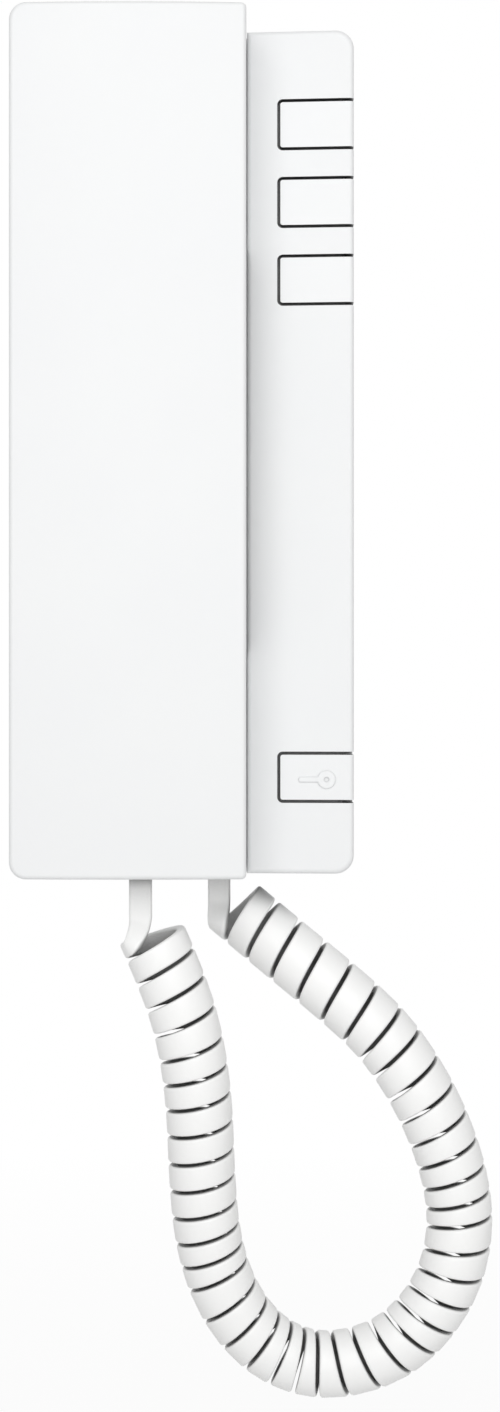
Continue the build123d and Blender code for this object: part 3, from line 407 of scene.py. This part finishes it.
def turn_count(length):
    """Turns behind each of many even steps along the coil, evened out over about half a turn."""
    whole = len(front_edges) - 1 + (exit_angle - entry_angle) / 360
    first = (edge_angle - entry_angle) / 360
    knots = [(0.0, 0.0)]
    knots += [(place * mm, first + number) for number, place in enumerate(front_edges)]
    knots.append((length, whole))
    turns = []
    near = 0
    for step in range(turn_steps + 1):
        place = length * step / turn_steps
        while near < len(knots) - 2 and knots[near + 1][0] < place:
            near += 1
        (low, before), (high, after) = knots[near], knots[near + 1]
        turns.append(before + (after - before) * (place - low) / (high - low))
    even = []
    for step in range(turn_steps + 1):
        wide = min(evening_steps, step, turn_steps - step)
        even.append(sum(turns[step - wide:step + wide + 1]) / (2 * wide + 1))
    return even


def curl_places(turns, length):
    """Distance along the middle line at each even part of a turn.

    It starts half a turn before the coil and ends half a turn after it."""
    steps, half = len(turns) - 1, rings_per_turn // 2
    count = round(turns[-1] * rings_per_turn)
    first = (turns[1] - turns[0]) * steps / length
    last = (turns[-1] - turns[-2]) * steps / length
    places = []
    step = 0
    for number in range(-half, count + half + 1):
        wanted = number / rings_per_turn
        while step < steps - 1 and turns[step + 1] < wanted:
            step += 1
        if wanted < 0:
            places.append(wanted / first)
        elif wanted > turns[-1]:
            places.append(length + (wanted - turns[-1]) / last)
        else:
            share = (wanted - turns[step]) / (turns[step + 1] - turns[step])
            places.append(length * (step + share) / steps)
    return places


def ribbon_section(width):
    """Outline of the ribbon, as offsets along its face direction and its width."""
    outline = []
    half_thick, half_wide = ribbon_thickness / 2 - ribbon_corner, width / 2 - ribbon_corner
    corners = ((1, -1, -90), (1, 1, 0), (-1, 1, 90), (-1, -1, 180))
    for out, along, start in corners:
        for step in range(corner_steps + 1):
            angle = math.radians(start + 90 * step / corner_steps)
            outline.append((out * half_thick + ribbon_corner * math.cos(angle),
                            along * half_wide + ribbon_corner * math.sin(angle)))
    return outline


def coil_rings(line):
    """Rings round the ribbon on the coil, with the middle, face direction and width of each.

    Both edges of a curl keep the same narrow gap to the curl beside it, so the curls are wide
    on the outside of the bend and narrow on its inside."""
    places = curl_places(turn_count(line.length), line.length)
    rings = []
    for number in range(len(places) - rings_per_turn):
        low, high = places[number], places[number + rings_per_turn]
        place = (low + high) / 2
        angle = math.radians(entry_angle) + math.tau * number / rings_per_turn
        turn = line.beside(high, angle, curl_radius) - line.beside(low, angle, curl_radius)
        spread = turn.length / (high - low)
        near_base = max(0, 1 - (line.length - place) / last_stretch)
        width = turn.length - curl_gap - (curl_gap_at_base - curl_gap) * near_base
        ring = [line.beside(place + along / spread, angle, curl_radius + out)
                for out, along in ribbon_section(width)]
        middle = line.beside(place, angle, curl_radius)
        rings.append((ring, middle, line.out(place, angle), width))
    return rings


def plain_ring(place, face, running, width):
    """A ring round the ribbon where it runs free."""
    across = face.cross(running).normalized()
    return [place + face * out + across * along for out, along in ribbon_section(width)]


def joining_rings(start, end, hold):
    """Rings on the ribbon's way between two ends, each with its middle.

    The way is a smooth cubic that keeps the direction of both ends. A hold above 1 keeps the
    first face longer, and below 1 it turns sooner."""
    first, first_face, first_running, first_width = start
    last, last_face, last_running, last_width = end
    reach = (last - first).length * lead_pull
    rings = []
    for number in range(1, lead_rings + 1):
        share = number / (lead_rings + 1)
        rest = 1 - share
        late = share * share * (3 - 2 * share)
        turned = late ** hold
        place = (first * (1 - late) + last * late
                 + first_running * (reach * share * rest * rest)
                 - last_running * (reach * share * share * rest))
        running = ((last - first) * (6 * share * rest)
                   + first_running * (reach * rest * (1 - 3 * share))
                   + last_running * (reach * share * (3 * share - 2))).normalized()
        face = first_face * (1 - turned) + last_face * turned
        face = (face - running * face.dot(running)).normalized()
        width = first_width + (last_width - first_width) * share
        rings.append((plain_ring(place, face, running, width), place))
    return rings


def lead_rings_of(place, top, running):
    """Rings on a straight lead between its lower end and its plug, from below."""
    places = [place, place.lerp(top, 0.5), top]
    return [(plain_ring(point, to_front, running, ribbon_width), point) for point in places]


def make_curly_cord():
    """The whole cord from plug to plug, as one ribbon."""
    coil = coil_rings(MiddleLine(smooth_line(coil_route)))
    handset_top, base_top = handset_lead_end.copy(), base_lead_end.copy()
    handset_top.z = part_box("cord_plug_handset")[0].z + plug_bite
    base_top.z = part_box("cord_plug_base")[0].z + plug_bite
    enters = (coil[0][1], coil[0][2], (coil[1][1] - coil[0][1]).normalized(), coil[0][3])
    leaves = (coil[-1][1], coil[-1][2], (coil[-1][1] - coil[-2][1]).normalized(), coil[-1][3])
    handset_lead = (handset_lead_end, to_front, downward, ribbon_width)
    base_lead = (base_lead_end, to_front, -downward, ribbon_width)
    course = lead_rings_of(handset_lead_end, handset_top, downward)[::-1]
    course += joining_rings(handset_lead, enters, handset_lead_hold)
    course += [(ring, middle) for ring, middle, _, _ in coil]
    course += joining_rings(leaves, base_lead, base_lead_hold)
    course += lead_rings_of(base_lead_end, base_top, -downward)
    mesh = bmesh.new()
    rings = [[mesh.verts.new(point) for point in ring] for ring, _ in course]
    for before, after in zip(rings, rings[1:]):
        for number in range(len(before)):
            beside = (number + 1) % len(before)
            mesh.faces.new((before[number], before[beside], after[beside], after[number]))
    mesh.faces.new(list(reversed(rings[0])))
    mesh.faces.new(rings[-1])
    bmesh.ops.recalc_face_normals(mesh, faces=mesh.faces)
    cord = new_piece("curly_cord", mesh, cord_pvc)
    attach(cord, "base")
    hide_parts("cord_curls", "cord_lead_base", "cord_lead_handset")


make_curly_cord()


# Key on the door button: the usual sign of a door opener, moulded in low relief.
# Its sizes and places are in millimetres.

key_bow = (35.75, -82.99)       # X and Z of its middle
key_bow_radius = 2.3
key_pit_radius = 0.6
key_shank_end = 29.3
key_shank_half = 0.65           # half the shank's height
key_relief = 0.4
key_slope = 0.45                # how wide the relief's edge is
key_cell = 0.1                  # of the grid that it is made on
key_columns, key_rows = 104, 56
key_margin = 1.1                # of the grid, left of the shank
key_sink = 0.01                 # by which its foot lies in the button
strip_edge = (15.65, -25.6)     # X and Y of the strip's face beside the handset
strip_fall = -2.3 / 27.05       # the face comes forward to the right


def key_height(x, z):
    """Height of the relief, from the distance to the key's outline."""
    from_bow = math.dist((x, z), key_bow) - key_bow_radius
    nearest = min(max(x, key_shank_end), key_bow[0])
    from_shank = math.dist((x, z), (nearest, key_bow[1])) - key_shank_half
    from_pit = key_pit_radius - math.dist((x, z), key_bow)
    inside = -max(min(from_bow, from_shank), from_pit)
    rise = min(max(inside / key_slope + 0.5, 0), 1)
    return key_relief * rise * rise * (3 - 2 * rise)


def make_key():
    """A fine grid over the key, raised by the relief and left out where the button is plain."""
    left, low = key_shank_end - key_margin, key_bow[1] - key_cell * key_rows / 2
    mesh = bmesh.new()
    grid = {}
    for column in range(key_columns + 1):
        for row in range(key_rows + 1):
            x, z = left + key_cell * column, low + key_cell * row
            face = strip_edge[1] + (x - strip_edge[0]) * strip_fall
            grid[column, row] = (key_height(x, z), Vector((x, face + key_sink, z)))
    used = {}

    def corner(spot):
        """The grid's point at a spot, made when it is first asked for."""
        if spot not in used:
            height, place = grid[spot]
            used[spot] = mesh.verts.new((place + to_front * height) * mm)
        return used[spot]

    for column in range(key_columns):
        for row in range(key_rows):
            spots = [(column, row), (column + 1, row), (column + 1, row + 1), (column, row + 1)]
            if any(grid[spot][0] > 0 for spot in spots):
                mesh.faces.new([corner(spot) for spot in spots])
    key = new_piece("door_key_relief", mesh, button_abs)
    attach(key, "door_button_body")


make_key()


# Floor, light and background

floor_half = 3.0                # half its side
floor_drop = 30 * mm            # below the lowest point of the cord
floor_near, floor_far = 0.1, 0.5                # from the spot below the wall screws
floor_white_near, floor_white_far = 0.93, 1.0   # how much of it looks plain white there
surroundings_glow = 0.45


def looked_at(tree):
    """1 where the camera sees a surface, also in gloss or through clear plastic, else 0."""
    path = add(tree, "ShaderNodeLightPath").outputs
    seen = add(tree, "ShaderNodeMath", {0: path["Is Camera Ray"], 1: path["Is Glossy Ray"]},
               operation="MAXIMUM").outputs[0]
    return add(tree, "ShaderNodeMath", {0: seen, 1: path["Is Transmission Ray"]},
               operation="MAXIMUM").outputs[0]


def make_floor():
    """A pale floor below the hanging cord. It looks nearly white and keeps a faint shadow."""
    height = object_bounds()[0][2] - floor_drop
    mesh = bmesh.new()
    mesh.faces.new([mesh.verts.new((x * floor_half, y * floor_half, height))
                    for x, y in ((-1, -1), (1, -1), (1, 1), (-1, 1))])
    finish, tree, output = new_finish("pale_matt_floor")
    diffuse = add(tree, "ShaderNodeBsdfDiffuse", {"Color": linear("F4F4F4")})
    white = add(tree, "ShaderNodeEmission", {"Color": (1, 1, 1, 1), "Strength": 1.0})
    place = add(tree, "ShaderNodeTexCoord").outputs["Object"]
    away = add(tree, "ShaderNodeVectorMath", {0: place, 1: (0, 0, height)},
               operation="DISTANCE").outputs["Value"]
    whiteness = add(tree, "ShaderNodeMapRange", {
        "Value": away, "From Min": floor_near, "From Max": floor_far,
        "To Min": floor_white_near, "To Max": floor_white_far}).outputs["Result"]
    share = add(tree, "ShaderNodeMath", {0: looked_at(tree), 1: whiteness}, operation="MULTIPLY")
    mix = add(tree, "ShaderNodeMixShader",
              {0: share.outputs[0], 1: diffuse.outputs[0], 2: white.outputs[0]})
    tree.links.new(mix.outputs[0], output.inputs["Surface"])
    new_piece("floor", mesh, finish, smooth=False)


def make_world():
    """Even white surroundings, which look plain white."""
    world = bpy.data.worlds.new("studio")
    scene.world = world
    world.use_nodes = True
    tree = world.node_tree
    tree.nodes.clear()
    output = add(tree, "ShaderNodeOutputWorld")
    glow = add(tree, "ShaderNodeBackground",
               {"Color": (1, 1, 1, 1), "Strength": surroundings_glow})
    white = add(tree, "ShaderNodeBackground", {"Color": (1, 1, 1, 1), "Strength": 1.0})
    mix = add(tree, "ShaderNodeMixShader",
              {0: looked_at(tree), 1: glow.outputs[0], 2: white.outputs[0]})
    tree.links.new(mix.outputs[0], output.inputs["Surface"])


def make_lamp(name, place, target, size, power):
    """A square soft lamp that looks at a point."""
    light = bpy.data.lights.new(name, "AREA")
    light.shape = "SQUARE"
    light.size = size
    light.energy = power
    lamp = bpy.data.objects.new(name, light)
    lamp.location = place
    lamp.rotation_euler = (Vector(target) - Vector(place)).to_track_quat("-Z", "Y").to_euler()
    scene.collection.objects.link(lamp)


scene.view_settings.view_transform = "Standard"
make_floor()
make_world()
make_lamp("front_softbox", place=(0.02, -1.1, 0.3), target=(0.02, 0, -0.1), size=1.1, power=8)
